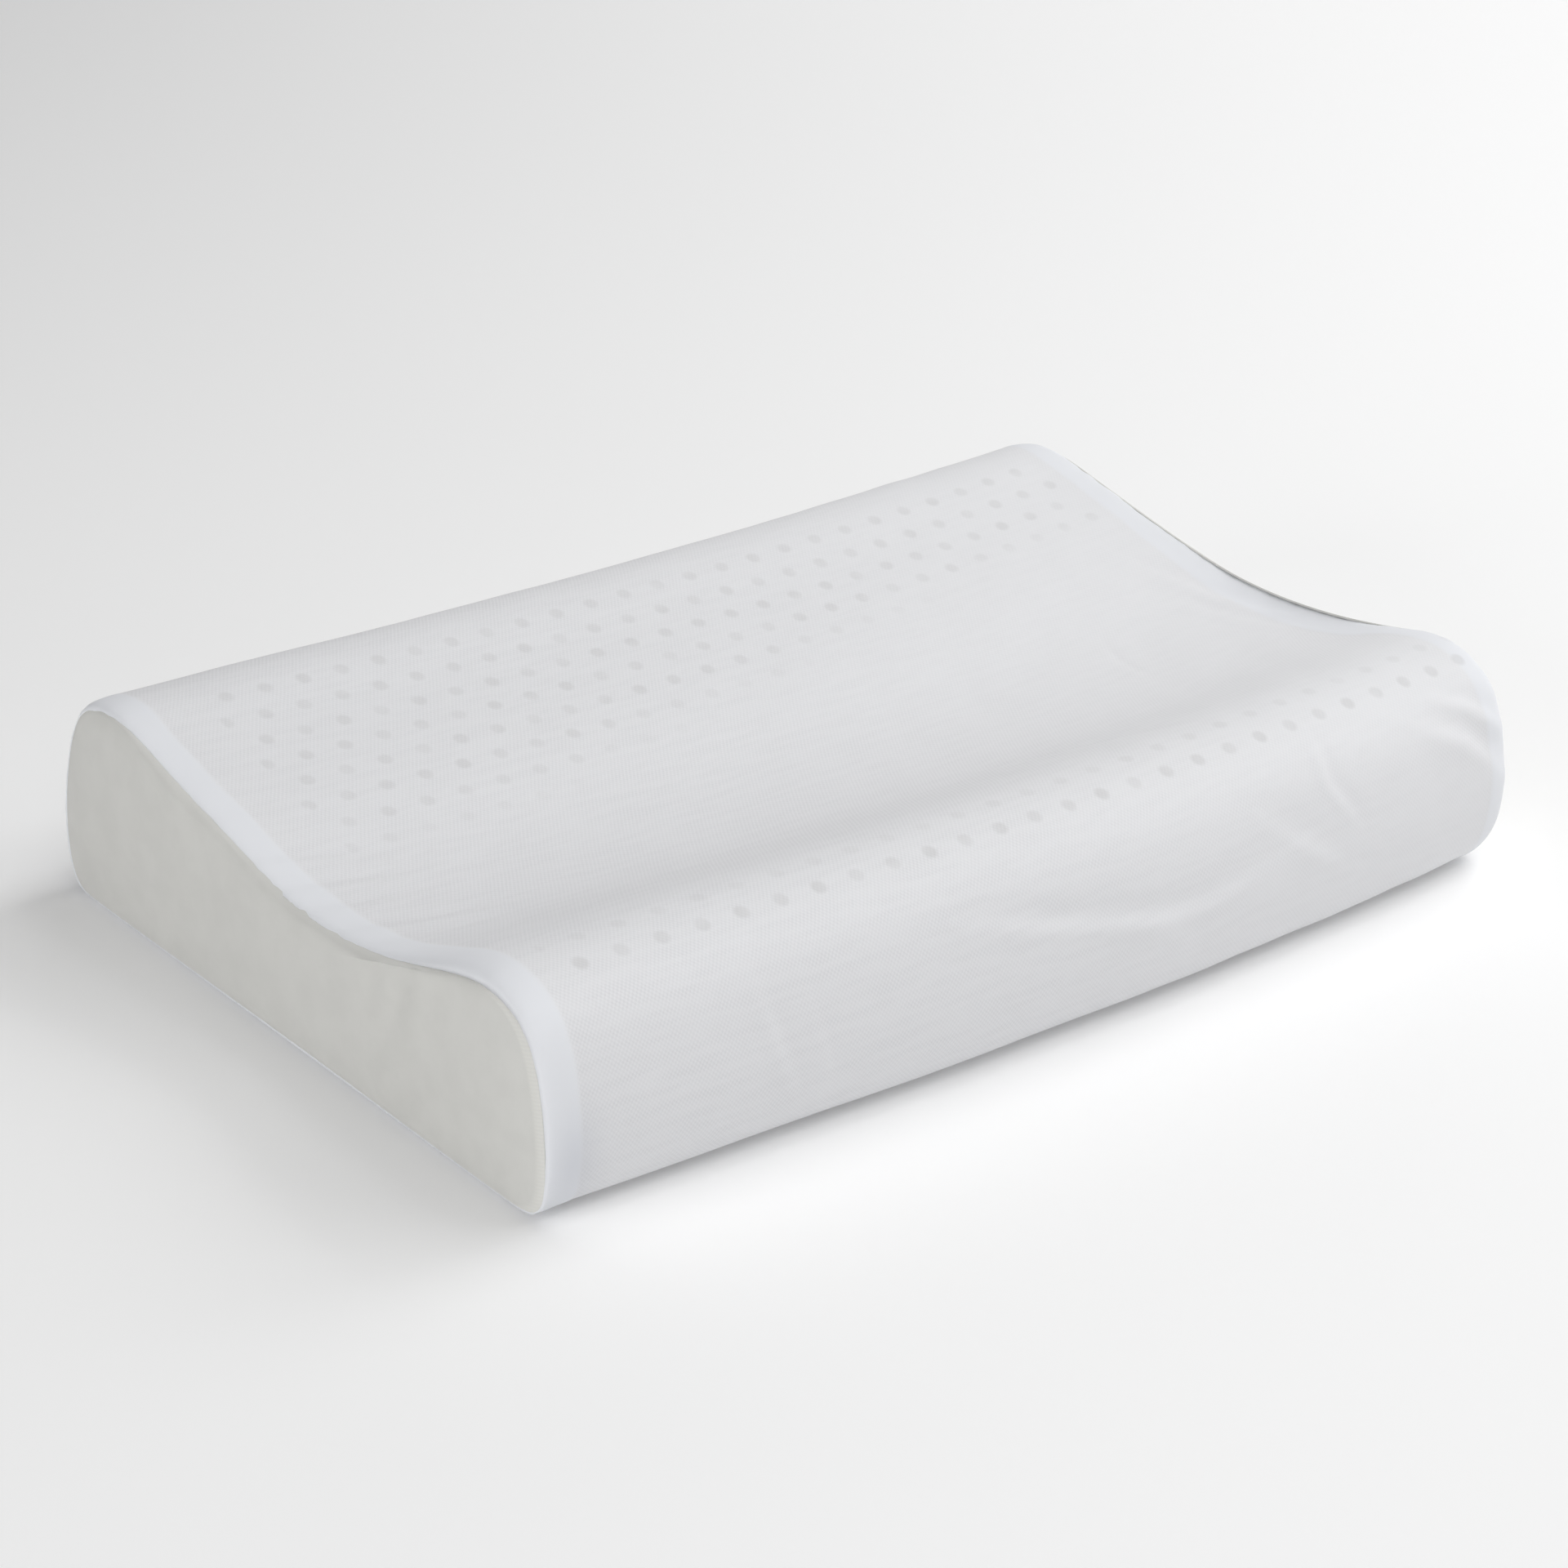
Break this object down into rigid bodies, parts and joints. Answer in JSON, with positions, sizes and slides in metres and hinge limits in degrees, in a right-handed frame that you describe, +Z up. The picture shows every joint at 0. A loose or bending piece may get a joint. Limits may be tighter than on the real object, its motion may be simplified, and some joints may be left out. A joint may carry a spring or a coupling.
{
  "type": "contour cervical pillow",
  "caption": "Contour neck pillow: high back roll, wide valley and lower front roll in a wrap-round white cloth cover with a sewn end panel on each short side.",
  "frame": {"origin": "centre of the base on the surface that the pillow lies on", "axes": "+X along the pillow's length, from the left end panel to the right one; +Y from the low front roll to the high back roll; +Z up"},
  "size_m": [0.608, 0.4084, 0.1128],
  "materials": {
    "band_cloth": "thin white twill over a pin-holed foam body, matte with a faint sheen",
    "panel_cloth": "smooth matte cream white plain cloth"
  },
  "bodies": {
    "root": {"pillow_body": "band_cloth", "end_panel_left": "panel_cloth", "end_panel_right": "panel_cloth"}
  },
  "joints": []
}
